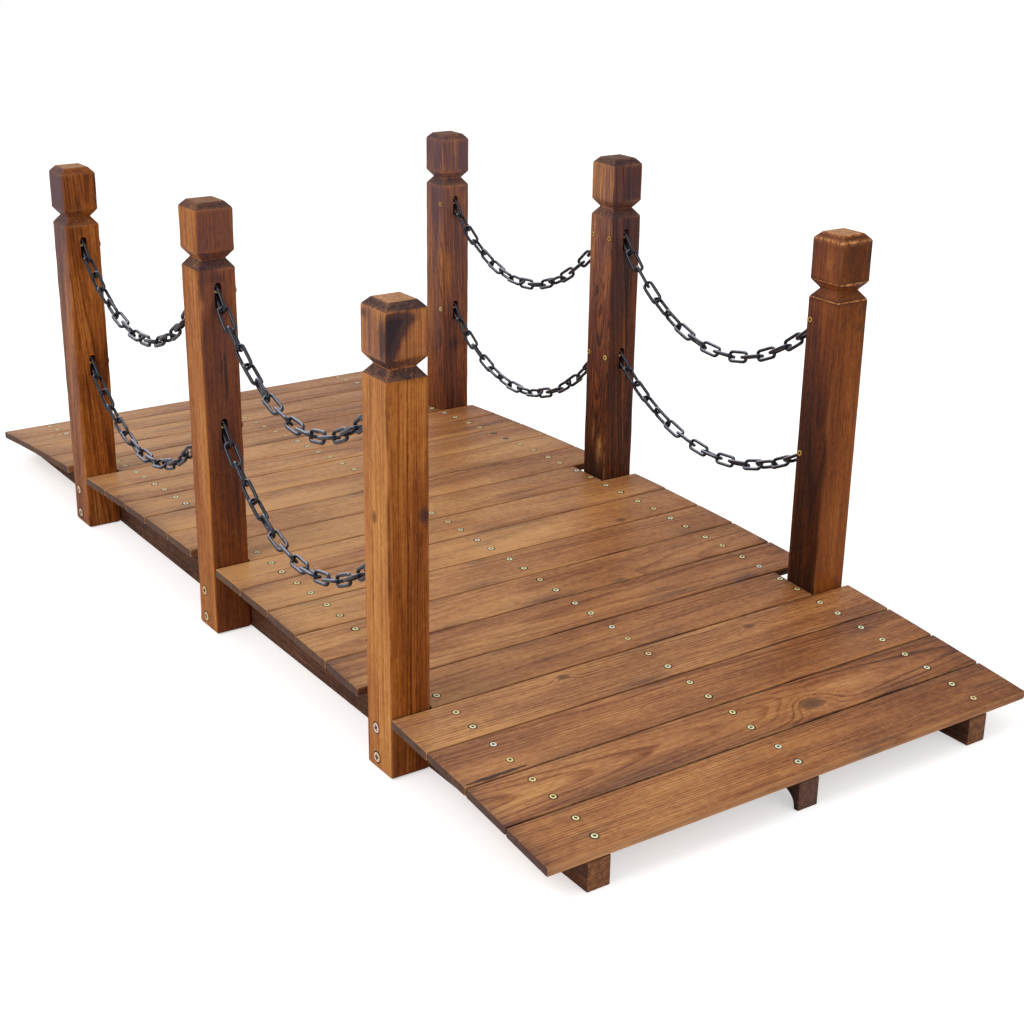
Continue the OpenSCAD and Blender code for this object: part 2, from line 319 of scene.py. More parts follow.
def woodFinish(name, kind, grainWay, knots=(), squash=(1, 1, 1), splits=(), saw=0.0):
    look = woods[kind]
    s = Shader(name)
    grain = s.attribute("grain")
    tone, burn, edge, smoky, crisp, haze, grime = (
        s.attribute(n, "Fac") for n in ("tone", "burn", "edge", "smoky", "crisp", "haze", "grime"))
    part = s.node("SeparateXYZ", {}, {0: grain})
    across, deep = part.at("Y"), part.at("Z")
    spot = s.node("TexCoord", {}, {}, "Object")
    wander = s.noise(s.stretch(grain, (1.9, 8, 8)), 2) - 0.5
    ripple = s.noise(s.stretch(grain, (7, 36, 36)), 2) - 0.5
    radial = (across * across + deep * deep) ** 0.5 + wander * look["wander"] + ripple * 0.0026
    radial, core = addKnots(s, spot, radial, knots, squash)
    core = addSplits(s, spot, grain, core, splits)
    ring = radial / look["spacing"]
    phase = s.math("FRACT", ring)
    strong = s.noise(s.vector(s.math("FLOOR", ring) * 3.7, 0.3, 0.2), 0)
    late = s.rise(phase, 0.4, 0.86) * s.fall(phase, 0.86, 1.0) * (s.rise(strong, 0.35, 0.65) * 0.7 + 0.3)
    fibre = s.noise(s.stretch(grain, (4, 290, 290)), 4, 0.68)
    fine = s.noise(s.stretch(grain, (7, 640, 640)), 2, 0.6)
    pore = s.rise(s.noise(s.stretch(grain, (55, 800, 800)), 1), 0.58, 0.72)
    mottle = s.noise(s.stretch(grain, (110, 190, 190)), 4, 0.7)
    cloud = s.noise(s.stretch(grain, (4, 20, 20)), 3, 0.55)
    smoke = s.rise(s.noise(s.shift(s.stretch(grain, (6, 44, 44)), (7, 3, 5)), 4, 0.62), 0.56, 0.74)

    lines = (late - 0.25) * look["late"] + (fibre - 0.5) * look["fibre"] + (fine - 0.5) * look["fine"]
    depth = tone + lines * crisp + pore * look["pore"]
    depth = depth + (mottle - 0.5) * look["mottle"] + (cloud - 0.5) * look["cloud"]
    colour = s.ramp(depth, look["stops"])
    facing = s.dot(s.node("TexCoord", {}, {}, "Normal"), grainWay)
    slope = s.rise(facing, 0.4, 0.55) * s.fall(facing, 0.84, 0.92)
    grainy = 0.9 + (fibre - 0.5) * 1.4 + (fine - 0.5) * 0.8
    # partly painted sheen, partly the wood's own violet-grey cast: a pale violet veil is mixed in
    colour = s.mix(haze * (0.6 + s.rise(cloud, 0.36, 0.64) * 0.8) * grainy, colour,
                   s.mix(depth * 0.7, veilAndSheenTint, burntTint))
    cover = s.math("MAXIMUM", smoke * look["smoke"], (slope * smoky + grime) * grainy)
    colour = s.mix(cover, colour, s.mix(depth * 0.7, smokeTint, burntTint))
    if core is not None:
        colour = s.mix(core * 0.8, colour, tint(60, 44, 40))
    patch = s.noise(s.stretch(grain, (9, 9, 9)), 2)
    chipped = s.rise(edge, 1.0, 1.3)
    kept = s.math("MAXIMUM", s.rise(patch, 0.38, 0.52), chipped * 0.8)
    # wear alone here: lighter worn edges
    wearAndHighlight = s.rise(fibre * 0.5 + mottle * 0.5, 0.42, 0.56) * kept
    colour = s.mix(edge * wearAndHighlight * 0.75, colour, look["worn"])
    colour = s.mix(edge * s.fall(patch, 0.36, 0.46) * (1 - chipped) * 0.6, colour, burntTint)
    ends = s.rise(abs(facing), 0.86, 0.96)
    rub = s.noise(s.stretch(spot, (160, 160, 160)), 3)
    endColour = s.mix(late * 0.5 + s.rise(rub, 0.35, 0.65) * 0.5, *look["ends"])
    endColour = s.mix(grime * grainy, endColour, smokeTint)
    colour = s.mix(ends * 0.9, colour, endColour)
    # painted shade: slopes facing down, under the head and at the foot, are darkened with the burn marks,
    # and so are the pockets' insides
    paintedUnderShade = s.rise(0 - facing, 0.4, 0.55) * s.fall(0 - facing, 0.86, 0.96) * smoky * 0.5
    scorchAndShade = s.rise(burn + paintedUnderShade + (cloud - 0.5) * 0.6 + (fibre - 0.5) * 0.5 + (rub - 0.5) * 0.3, 0.25, 0.8)
    colour = s.mix(scorchAndShade * (0.82 + s.rise(burn, 1.0, 1.3) * 0.16), colour, scorchTint)
    height = late * 0.4 + fibre * 0.6 + mottle * 0.5 - pore * 0.3
    if saw:
        height = height + ends * s.noise(s.stretch(spot, (300, 900, 500)), 3) * saw
    rough = look["rough"] + (mottle - 0.5) * 0.4 + ends * 0.25 + (cloud - 0.5) * 0.2
    return s.finish({"Base Color": colour, "Roughness": rough, "Specular IOR Level": look["specular"],
                     "Normal": s.bump(height, 0.0004, 0.7)})


# knots: place, radius, and how far the lines bend round it
deckKnots = [(0.6648, 0.0919, 0.0582, 0.0098, 1.0), (0.4881, -0.121, 0.0738, 0.0046, 1.0),
             (0.4976, 0.1472, 0.0731, 0.0046, 1.0), (0.3266, 0.0863, 0.0838, 0.0062, 1.0),
             (0.172, 0.2044, 0.0897, 0.005, 1.0)]
deckSplits = [((0.6134, -0.2936, 0.0632), (0.0032, 0.05, 0.004))]
postKnots = [(0.472, -0.2932, 0.2986, 0.005, 1.0), (0.4442, -0.335, 0.296, 0.0042, 0.8),
             (0.0067, 0.277, 0.3654, 0.0045, 1.0)]
postSplits = [((0.0364, -0.3052, 0.336), (0.004, 0.0028, 0.04))]
deckWood = woodFinish("deckWood", "deck", (0, 1, 0), deckKnots, (1, 0.6, 1), deckSplits)
postWood = woodFinish("postWood", "post", (0, 0, 1), postKnots, (1, 1, 0.6), postSplits)
stringerWood = woodFinish("stringerWood", "stringer", (1, 0, 0), saw=1.0)


def layWood(mesh, grain, **layers):
    lay(mesh, "grain", grain)
    for name in ("tone", "crisp", "edge", "burn", "smoky", "haze", "grime"):
        lay(mesh, name, np.broadcast_to(np.asarray(layers.get(name, 0), float), len(mesh.vertices)))


# boards
# tones give each row of boards its tone (0 light, 1 dark), darkest for the near rows, and the change from
# row to row is partly painted sheen on the farther boards; each row's pale violet veil is partly painted
# sheen; leftLight is painted sheen lightening the deck's left and painted shade darkening its right, and
# rightShade is painted shade darkening the right further
boards = {
    "topPoints": 15, "stations": 96, "endSlack": 0.0016, "sway": 0.00035, "wear": 0.0003,
    "tones": [(-10, 0.21), (-6, 0.22), (-3, 0.12), (0, 0.13), (4, 0.22), (8, 0.34), (10, 0.47)],
    "crisps": [(-10, 0.35), (0, 0.5), (6, 0.62), (10, 1.0)],
    "veilAndSheenRows": [(-10, 0.14), (0, 0.12), (8, 0.14), (10, 0.09)],
    "spread": 0.06, "leftLight": 0.1, "rightShade": 0.07, "seamShade": 0.6, "smudges": 5, "seed": 11,
}


def boardRing(half, thick, ease, inset):
    # cross-section of a board from its top's far edge round to its underside: (across, up, edge)
    h, top, low = half - inset, -inset, -thick + inset
    ring = [(v, top, 0) for v in np.linspace(-h + ease, h - ease, boards["topPoints"])]
    turns = np.radians([22.5, 45, 67.5, 90])
    ring += [(h - ease + ease * math.sin(a), top - ease + ease * math.cos(a), 1) for a in turns]
    ring += [(h, (top + low) / 2, 0.3)]
    level = turns - turns[0]
    ring += [(h - ease + ease * math.cos(a), low + ease - ease * math.sin(a), 1) for a in level]
    ring += [(v, low, 0) for v in np.linspace(h - ease, -h + ease, 5)]
    ring += [(-h + ease - ease * math.sin(a), low + ease - ease * math.cos(a), 1) for a in turns]
    ring += [(-h, (top + low) / 2, 0.3)]
    ring += [(-h + ease - ease * math.cos(a), top - ease + ease * math.sin(a), 1) for a in level]
    return np.array(ring)


def boardShape(i, k, rng):
    # a board's mesh and ends, and each point's place on the flat board with its share of edge
    low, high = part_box(f"deck_board_{i + 1:02d}")
    ends = [low.y + rng.uniform(0, boards["endSlack"]), high.y - rng.uniform(0, boards["endSlack"])]
    skew = [rng.uniform(-0.008, 0.008) for _ in ends]
    farWave, nearWave, topWave = (waves(rng, 5, 40) for _ in range(3))
    stations = np.linspace(ends[0] + 0.0022, ends[1] - 0.0022, boards["stations"])
    rows = [(ends[0], 0.0011), (ends[0] + 0.0003, 0.0005), (ends[0] + 0.001, 0.0001)]
    rows += [(u, 0) for u in stations]
    rows += [(ends[1] - 0.001, 0.0001), (ends[1] - 0.0003, 0.0005), (ends[1], 0.0011)]
    points, edge, placed = [], [], []
    for u, inset in rows:
        ring = boardRing(boardWidth / 2, deck["thick"], deck["ease"], inset)
        v, w, e = ring.T
        share = v / boardWidth + 0.5
        v = v + (farWave(u) * (1 - share) - nearWave(u) * share - np.sign(v)) * boards["sway"]
        upper = w > -deck["thick"] / 2
        w = w - upper * boards["wear"] * (0.5 + 0.5 * topWave(u + v * 3)) * (0.6 + 0.8 * np.abs(share - 0.5))
        lean = skew[0] if u < 0 else skew[1]
        y = u + v * lean * (abs(u) / max(abs(ends[0]), abs(ends[1]))) ** 6
        points.append(onBoard(k, y, v, w))
        edge.append(e)
        placed.append(np.stack([np.full_like(v, u), v, w], -1))
    points, edge, placed = (np.array(a) for a in (points, edge, placed))
    mesh = meshFrom(f"board{i + 1:02d}", points, skin(*points.shape[:2]))
    return mesh, ends, placed.reshape(-1, 3), edge.ravel()


def layBoard(mesh, i, k, ends, at, edge, rng):
    # grain, tone, smudges, painted shade in the seams and painted sheen over a board
    flat = rng.random() < 0.25
    pith = (rng.choice((-1, 1)) * rng.uniform(0.0, 0.03 if flat else 0.11), rng.uniform(-0.11, -0.03))
    tilt, thin = rng.uniform(-0.03, 0.03), rng.uniform(0.8, 1.2)
    grain = np.stack([at[:, 0] + i * 3.1, (at[:, 1] - pith[0]) * thin,
                      (at[:, 2] - pith[1] - tilt * at[:, 0]) * thin], 1)
    tone = np.interp(k, *zip(*boards["tones"])) + rng.uniform(-boards["spread"], boards["spread"])
    aside = at[:, 0] / (deck["width"] / 2)
    # painted sheen on the deck's left and painted shade on its right
    tone = tone + boards["leftLight"] * aside + boards["rightShade"] * np.clip(aside, 0, 1)
    outer = (i in (0, deck["count"] - 1)) & (at[:, 1] * k > 0)  # the deck's own ends have no neighbour, so no painted seam shade
    # painted shade: each board's sides down in the gaps are darkened
    over = np.clip((np.abs(at[:, 1]) - boardWidth / 2 + deck["ease"]) / deck["ease"], 0, 1)
    tone = tone + boards["seamShade"] * over ** 2 * ~outer
    grime = np.zeros(len(at))
    for _ in range(boards["smudges"]):
        along, across = rng.uniform(*ends), rng.choice((-1, 1)) * boardWidth / 2
        reach, depth = rng.uniform(0.015, 0.07), rng.uniform(0.006, 0.02)
        far = ((at[:, 0] - along) / reach) ** 2 + ((at[:, 1] - across) / depth) ** 2
        grime += rng.uniform(0.15, 0.55) * np.exp(-far)
    for end in ends:
        grime += rng.uniform(0.1, 0.5) * np.exp(-np.abs(at[:, 0] - end) / 0.012)
    crisp = np.interp(k, *zip(*boards["crisps"])) * rng.uniform(0.7, 1.2)
    haze = np.interp(k, *zip(*boards["veilAndSheenRows"])) * (1 - 0.9 * aside)
    layWood(mesh, grain, tone=tone, crisp=crisp, edge=edge * 0.5, grime=grime, haze=haze)


def buildBoard(i):
    rng = random.Random(boards["seed"] + i)
    k = i - (deck["count"] - 1) // 2
    mesh, ends, at, edge = boardShape(i, k, rng)
    layBoard(mesh, i, k, ends, at, edge, rng)
    return piece(f"board{i + 1:02d}", mesh, [deckWood], "deck_wood", f"deck_board_{i + 1:02d}")


for i in range(deck["count"]):
    buildBoard(i)
print("boards laid")


# stringers
stringers = {
    "length": 1.514, "bevelL": 0.026, "bevelH": 0.003, "relief": 0.019, "foot": 0.006, "ease": 0.0012,
    "nearEnd": [0, 0.0004, 0.0012, 0.003, 0.006, 0.0063, 0.0075, 0.009, 0.0105, 0.0125, 0.015, 0.018,
                0.0215, 0.025, 0.026, 0.03],
    "stations": 110, "tone": 0.72, "soot": (0.15, 0.75, 0.3),
    "piths": [(-0.0108, 0.088), (0.0095, 0.0419), (-0.0126, 0.1108)],
}


def stringerSpan(side, x):
    # underside, top and drawing-in of a stringer at a place along it
    half, relief = stringers["length"] / 2, stringers["relief"]
    end = half - abs(x)
    inset = 0.0009 if end <= 0.0003 else 0.0002 if end <= 0.001 else 0
    top = arcZ + math.sqrt((arcR - deck["thick"] - deck["woodGap"]) ** 2 - x * x)
    endZ = arcZ + math.sqrt((arcR - deck["thick"]) ** 2 - half ** 2) - stringers["bevelH"]
    slope = math.tan(boardTurn * (deck["count"] - 1) / 2)
    bevelZ = endZ + stringers["bevelH"] + stringers["bevelL"] * slope
    if end < stringers["bevelL"]:
        top = min(top, endZ + (bevelZ - endZ) * end / stringers["bevelL"])
    bottom = 0.0
    if side == "middle":
        over = max(0.0, abs(x) - (half - stringers["foot"] - relief))
        bottom = math.sqrt(max(0.0, relief ** 2 - over ** 2))
    return bottom + inset, top - inset, inset


def plankRing(y0, y1, z0, z1, ease, rows=7):
    # cross-section of a plank on edge, with its corners rounded: (sideways, up)
    levels = np.linspace(z0 + ease, z1 - ease, rows)[1:-1]
    corners = [(y1 - ease, z0 + ease, -90), (y1 - ease, z1 - ease, 0),
               (y0 + ease, z1 - ease, 90), (y0 + ease, z0 + ease, 180)]
    sides = [[(y1, z) for z in levels], [], [(y0, z) for z in levels[::-1]], []]
    ring = []
    for (y, z, start), side in zip(corners, sides):
        turns = np.radians([start, start + 45, start + 90])
        ring += [(y + ease * math.cos(a), z + ease * math.sin(a)) for a in turns] + side
    return np.array(ring)


def buildStringer(side, order):
    node = f"{side}_stringer"
    low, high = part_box(node)
    half, near = stringers["length"] / 2, np.array(stringers["nearEnd"])
    middle = np.linspace(-half + 0.04, half - 0.04, stringers["stations"])
    points = []
    for x in np.concatenate([-half + near, middle, half - near[::-1]]):
        bottom, top, inset = stringerSpan(side, x)
        ring = plankRing(low.y + inset, high.y - inset, bottom, top, stringers["ease"])
        points.append(np.column_stack([np.full(len(ring), x), ring]))
    points = np.array(points)
    mesh = meshFrom(f"{side}Stringer", points, skin(*points.shape[:2]))
    at, pith = pointsOf(mesh), stringers["piths"][order]
    grain = [at[:, 0] + order * 5, at[:, 1] - (low.y + high.y) / 2 - pith[0],
             at[:, 2] - pith[1] - 0.02 * at[:, 0]]
    layWood(mesh, np.stack(grain, 1), tone=stringers["tone"], crisp=1, grime=stringers["soot"][order])
    return piece(f"{side}Stringer", mesh, [stringerWood], "stringer_wood", node)


for order, side in enumerate(("left", "middle", "right")):
    buildStringer(side, order)
print("stringers set")


# posts
posts = {
    "width": 0.050, "crown": 0.008, "head": 0.0495, "groove": 0.009, "grooveH": 0.0215, "sole": 0.003,
    "sidePoints": 13, "upperDrop": 0.107, "levelGap": 0.169, "pinInset": 0.006,
    "pocketW": 0.0095, "pocketRise": 0.012, "pocketFall": 0.0202, "pocketDepth": 0.016, "seed": 40,
}
chainFaces = {"far": [1], "middle": [-1, 1], "near": [-1]}  # which way along the span the pockets open

# tones (0 light, 1 dark) at the foot and the head, and the change between them is mostly
# painted shade darkening the feet near the deck and painted sheen lightening the heads;
# a pale violet veil on the front, the side and the head alone, partly the wood's own cast and
# partly painted sheen; lean is how far the lines run off the post's own axis;
# burns are face, sideways, height, two reaches, strength
postLooks = {
    "far_left": {
        "pith": (-0.0289, 0.0211),
        "front": (0.5, 0.42), "side": (0.6, 0.61), "haze": (0.85, 0.0, 0.05), "crisp": 1.1, "ease": 0.0042,
        "worn": (0.25, 0.3), "crown": 0.15, "groove": 0.4, "top": 0.2, "lean": (0.02, 0.03),
        "burns": [("side", -0.003, 0.47, 0.006, 0.03, 0.4), ("front", -0.022, 0.3, 0.005, 0.2, 0.5)]},
    "middle_left": {
        "pith": (0.0158, 0.0338),
        "front": (0.35, 0.35), "side": (0.7, 0.58), "haze": (0.05, 0.55, 0.05), "crisp": 0.7, "ease": 0.0048,
        "worn": (0.2, 0.3), "crown": 0.85, "groove": 0.9, "top": 0.6, "lean": (0.01, 0.01),
        "burns": [("side", -0.004, 0.46, 0.026, 0.013, 0.48), ("side", -0.001, 0.346, 0.0022, 0.03, 0.8),
                  ("side", 0.012, 0.43, 0.01, 0.03, 0.3), ("front", 0.02, 0.44, 0.01, 0.03, 0.4),
                  ("side", -0.004, 0.424, 0.012, 0.02, 0.4), ("side", -0.004, 0.25, 0.01, 0.018, 0.45),
                  ("front", -0.024, 0.28, 0.004, 0.2, 0.5)],
        "rubs": [("side", -0.022, 0.44, 0.004, 0.02, 0.8)]},
    "near_left": {
        "pith": (-0.0216, -0.0217),
        "front": (0.33, 0.27), "side": (0.62, 0.4), "haze": (0.13, 0.0, 0.3), "crisp": 0.95, "ease": 0.0022,
        "worn": (0.85, 0.7), "crown": 1.1, "groove": 1.0, "top": 0.1, "lean": (0.006, 0.004),
        "burns": [("side", -0.012, 0.508, 0.027, 0.008, 1.0), ("side", -0.017, 0.497, 0.02, 0.011, 0.9),
                  ("side", -0.021, 0.484, 0.014, 0.013, 0.9), ("side", -0.023, 0.469, 0.009, 0.013, 0.8),
                  ("front", 0.019, 0.488, 0.012, 0.034, 0.8), ("front", -0.02, 0.508, 0.012, 0.008, 0.7),
                  ("front", -0.006, 0.47, 0.003, 0.03, 0.4), ("side", 0.021, 0.295, 0.006, 0.012, 0.6)]},
    "far_right": {
        "pith": (0.0137, 0.0265),
        "front": (0.5, 0.1), "side": (0.7, 0.3), "haze": (0.98, 0.92, 0.0), "crisp": 1.1, "ease": 0.0036,
        "worn": (0.3, 0.4), "crown": 0.7, "groove": 0.8, "top": 0.8, "lean": (0.02, 0.045),
        "burns": [("side", 0.0, 0.19, 0.02, 0.02, 0.6), ("front", 0.018, 0.2, 0.012, 0.03, 0.5)]},
    "middle_right": {
        "pith": (0.0007, 0.0226),
        "front": (1.05, 0.04), "side": (1.0, 0.74), "haze": (0.62, 0.6, 0.0), "crisp": 1.3, "ease": 0.0034,
        "worn": (0.4, 0.4), "crown": 1.0, "groove": 0.6, "top": 0.9, "lean": (0.01, 0.05),
        "burns": [("side", -0.01, 0.2, 0.012, 0.09, 0.4), ("front", 0.02, 0.2, 0.008, 0.1, 0.4)],
        "rubs": [("front", 0.012, 0.136, 0.006, 0.022, 1.0), ("front", -0.004, 0.16, 0.003, 0.02, 0.6)]},
    "near_right": {
        "pith": (0.0053, 0.0483),
        "front": (0.9, 0.54), "side": (0.64, 0.74), "haze": (0.42, 0.0, 0.0), "crisp": 0.5, "ease": 0.002,
        "worn": (0.3, 1.5), "crown": 0.1, "groove": 0.1, "top": 0.0, "lean": (0.02, 0.015),
        "burns": [("side", 0.024, 0.32, 0.004, 0.2, 0.3), ("side", 0.022, 0.5, 0.005, 0.02, 0.6),
                  ("front", -0.006, 0.41, 0.012, 0.06, 0.4), ("front", 0.01, 0.37, 0.006, 0.04, 0.4),
                  ("front", 0.0, 0.5, 0.02, 0.012, 0.35)],
        "rubs": [("side", 0.021, 0.437, 0.003, 0.005, 1.6), ("side", 0.014, 0.411, 0.003, 0.004, 1.5),
                 ("side", 0.0, 0.464, 0.016, 0.0022, 1.6), ("front", 0.006, 0.487, 0.003, 0.016, 1.2)]},
}


def shaftTop(height):
    return height - posts["crown"] - posts["head"] - posts["grooveH"]


def postProfile(height):
    # a post's outline from its sole up over the groove and head to the middle of its top
    shaft, groove, crown = shaftTop(height), posts["groove"], posts["crown"]
    return smoothed([
        (0.010, 0, 0), (posts["sole"], 0, 0.0015), (0, posts["sole"], 0.002), (0, shaft, 0.0014),
        (groove, shaft + posts["grooveH"] / 2, 0.0008), (0, shaft + posts["grooveH"], 0.0018),
        (0, height - crown, 0.0018), (crown, height, 0.0014), (0.020, height, 0)])


def postSection(half, corner):
    # a post's cross-section: four straight sides with rounded corners
    turns = np.radians([18, 36, 54, 72])
    side = [(x, -half) for x in np.linspace(corner - half, half - corner, posts["sidePoints"])]
    side += [(half - corner + corner * math.sin(a), corner - half - corner * math.cos(a)) for a in turns]
    quarters = [np.array(side)]
    for _ in range(3):
        last = quarters[-1]
        quarters.append(np.stack([-last[:, 1], last[:, 0]], 1))
    return np.concatenate(quarters)


def postBlank(x, y, height, profile, ease, rng):
    # the post before its pockets are cut, with uneven edges and shallow dents
    shaft = shaftTop(height)
    cornerAt = [(0, 0.002), (0.02, ease), (shaft - 0.003, ease), (shaft + posts["grooveH"] / 2, 0.0006),
                (shaft + posts["grooveH"] + 0.004, ease), (height - posts["crown"], ease), (height, 0.0008)]
    sway, blunt = waves(rng, 4, 40), waves(rng, 20, 150)
    rings = []
    for inset, z in profile:
        half = posts["width"] / 2 - inset
        corner = np.interp(z, *zip(*cornerAt)) * (1 + 0.25 * blunt(z))
        ring = postSection(half - 0.0001, min(corner, half - 0.001))
        dents = 0.00022 * (1 + sway(z))
        ring = ring - np.sign(ring) * dents * (np.abs(ring) > half * 0.98)
        rings.append(np.column_stack([x + ring[:, 0], y + ring[:, 1], np.full(len(ring), z)]))
    rings = np.array(rings)
    return meshFrom("postBlank", rings, skin(*rings.shape[:2]))


def pocketRows(x, y, z, face):
    # the oblong ring of a pocket, just outside the post's face and at the pocket's bottom
    r, steps = posts["pocketW"] / 2, 10
    top, low = z + posts["pocketRise"] - r, z - posts["pocketFall"] + r
    ring = [(y + r * math.cos(a), top + r * math.sin(a)) for a in np.linspace(0, math.pi, steps)]
    ring += [(y + r * math.cos(a), low + r * math.sin(a)) for a in np.linspace(math.pi, 2 * math.pi, steps)]
    outside = x + face * (posts["width"] / 2 + 0.002)
    bottom = x + face * (posts["width"] / 2 - posts["pocketDepth"])
    return [[(px, py, pz) for py, pz in ring] for px in (outside, bottom)]


def carvePockets(blank, x, y, height, faces):
    # the blank's mesh with a pocket for every chain end
    cuts, cutFaces = [], []
    for face in faces:
        for level in (0, 1):
            rows = pocketRows(x, y, height - posts["upperDrop"] - level * posts["levelGap"], face)
            cutFaces += skin(2, len(rows[0]), start=len(cuts))
            cuts += rows[0] + rows[1]
    body = bpy.data.objects.new("postBlank", blank)
    cutter = bpy.data.objects.new("pocketCutter", meshFrom("pocketCutter", cuts, cutFaces))
    for thing in (body, cutter):
        scene.collection.objects.link(thing)
    carve = body.modifiers.new("pockets", "BOOLEAN")
    carve.operation, carve.object, carve.solver = "DIFFERENCE", cutter, "EXACT"
    mesh = bpy.data.meshes.new_from_object(body.evaluated_get(bpy.context.evaluated_depsgraph_get()))
    for thing in (body, cutter):
        bpy.data.objects.remove(thing)
    return mesh


def profileInset(profile, z):
    # how far the surface stands in from the post's full width at a height
    shell = [q for q in profile if q[0] < 0.0099]
    return np.interp(z, [q[1] for q in shell], [q[0] for q in shell])


def layPost(mesh, x, y, height, profile, look, order, outward):
    # grain, tones, wear, scorch marks, and painted shade and sheen over a post
    at = pointsOf(mesh)
    dx, dy, z = at[:, 0] - x, at[:, 1] - y, at[:, 2]
    half, shaft = posts["width"] / 2, shaftTop(height)
    pith, lean = look["pith"], look["lean"]
    grain = np.stack([z + order * 4, dx - pith[0] - lean[0] * z, dy - pith[1] + lean[1] * z], 1)

    inside = half - np.maximum(np.abs(dx), np.abs(dy))
    edge = np.clip(1 - (half - np.minimum(np.abs(dx), np.abs(dy)) - inside) / 0.0035, 0, 1)
    levelEdge = 0
    for level in (shaft, shaft + posts["grooveH"], height - posts["crown"], height):
        line = np.exp(-((z - level) / 0.0016) ** 2) * (np.abs(inside - profileInset(profile, z)) < 0.002)
        levelEdge = np.maximum(levelEdge, line)
    edge = np.maximum(edge * look["worn"][0], levelEdge * look["worn"][1])

    onFront = np.clip((np.abs(dy) - np.abs(dx)) / 0.003 + 0.5, 0, 1)
    # painted shade and sheen: each face's tone runs from its foot's to its head's, mostly darker low down
    # near the deck and lighter up high
    rise = np.clip((z - 0.1) / (height - 0.15), 0, 1)
    front, side = (look[key][0] + (look[key][1] - look[key][0]) * rise for key in ("front", "side"))
    tone = side * (1 - onFront) + (front + 0.1 * (dy * outward < 0)) * onFront
    # partly painted sheen, partly the wood's own cast: the violet veil grows towards the head
    frontVeilAndSheen, sideVeilAndSheen, headVeilAndSheen = look["haze"]
    haze = (frontVeilAndSheen * onFront + sideVeilAndSheen * (1 - onFront)) * (0.2 + 0.8 * rise)
    haze += headVeilAndSheen * (z > shaft + posts["grooveH"] / 2)
    grime = look["top"] * (z > height - 0.0006)
    smoky = np.where(z > height - 0.02, look["crown"], look["groove"]) * (z > shaft - 0.01)

    # painted shade: the insides of the chain pockets are darkened past the burn marks
    pocket = (np.abs(dy) < posts["pocketW"] / 2 + 0.0003) & (np.abs(dx) < half - 0.0012)
    pocket = pocket & (np.abs(dx) > 0.008) & (z > 0.1) & (z < shaft - 0.05)
    burn = 1.3 * pocket
    for key, layer in (("burns", burn), ("rubs", edge)):
        for face, sideways, up, width, tall, strength in look.get(key, []):
            across = dy if face == "side" else dx
            onFace = 1 - onFront if face == "side" else onFront
            far = ((across - sideways) / width) ** 2 + ((z - up) / tall) ** 2
            layer += onFace * strength * np.exp(-far)
    layWood(mesh, grain, tone=tone, crisp=look["crisp"], edge=edge, burn=np.clip(burn, 0, 1.3),
            smoky=smoky, haze=haze, grime=grime)


def buildPost(place, side, order):
    node = f"{place}_{side}_post"
    low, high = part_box(node)
    x, y, height = (low.x + high.x) / 2, (low.y + high.y) / 2, high.z
    look, profile = postLooks[f"{place}_{side}"], postProfile(height)
    blank = postBlank(x, y, height, profile, look["ease"], random.Random(posts["seed"] + order))
    mesh = carvePockets(blank, x, y, height, chainFaces[place])
    mesh.name = node.replace("_", "")
    layPost(mesh, x, y, height, profile, look, order, -1 if side == "left" else 1)
    slot = "light_post_wood" if side == "left" else "dark_post_wood"
    return piece(f"{place}{side.title()}Post", mesh, [postWood], slot, node, sharp=50)


for order, (place, side) in enumerate((p, s) for p in chainFaces for s in ("left", "right")):
    buildPost(place, side, order)
print("posts raised")


# chains
links = {"innerL": 0.028, "width": 0.0166, "wire": 0.0043, "along": 44, "around": 12, "seed": 90}


def gunmetal():
    s = Shader("chainSteel")
    spot = s.node("TexCoord", {}, {}, "Object")
    cloud = s.noise(s.stretch(spot, (90, 90, 90)), 3)
    grit = s.noise(s.stretch(spot, (900, 900, 900)), 2)
    colour = s.mix(s.rise(cloud + (grit - 0.5) * 0.4, 0.35, 0.7), tint(10, 9, 14), tint(26, 24, 34))
    # painted highlight: the links' upward faces are lightened towards a pale blue-grey, as the lamps' glint
    # would light them
    upper = s.dot(s.node("TexCoord", {}, {}, "Normal"), (-0.28, -0.3, 0.91))
    wearAndHighlight = s.rise(upper + (grit - 0.5) * 0.3, 0.66, 0.94)
    colour = s.mix(wearAndHighlight * 0.9, colour, tint(186, 187, 204))
    return s.finish({"Base Color": colour, "Roughness": 0.2 + cloud * 0.14 + (grit - 0.5) * 0.1,
                     "Specular IOR Level": 0.6, "Specular Tint": (0.86, 0.9, 1, 1),
                     "Normal": s.bump(grit, 0.0001, 0.4)})


chainSteel = gunmetal()


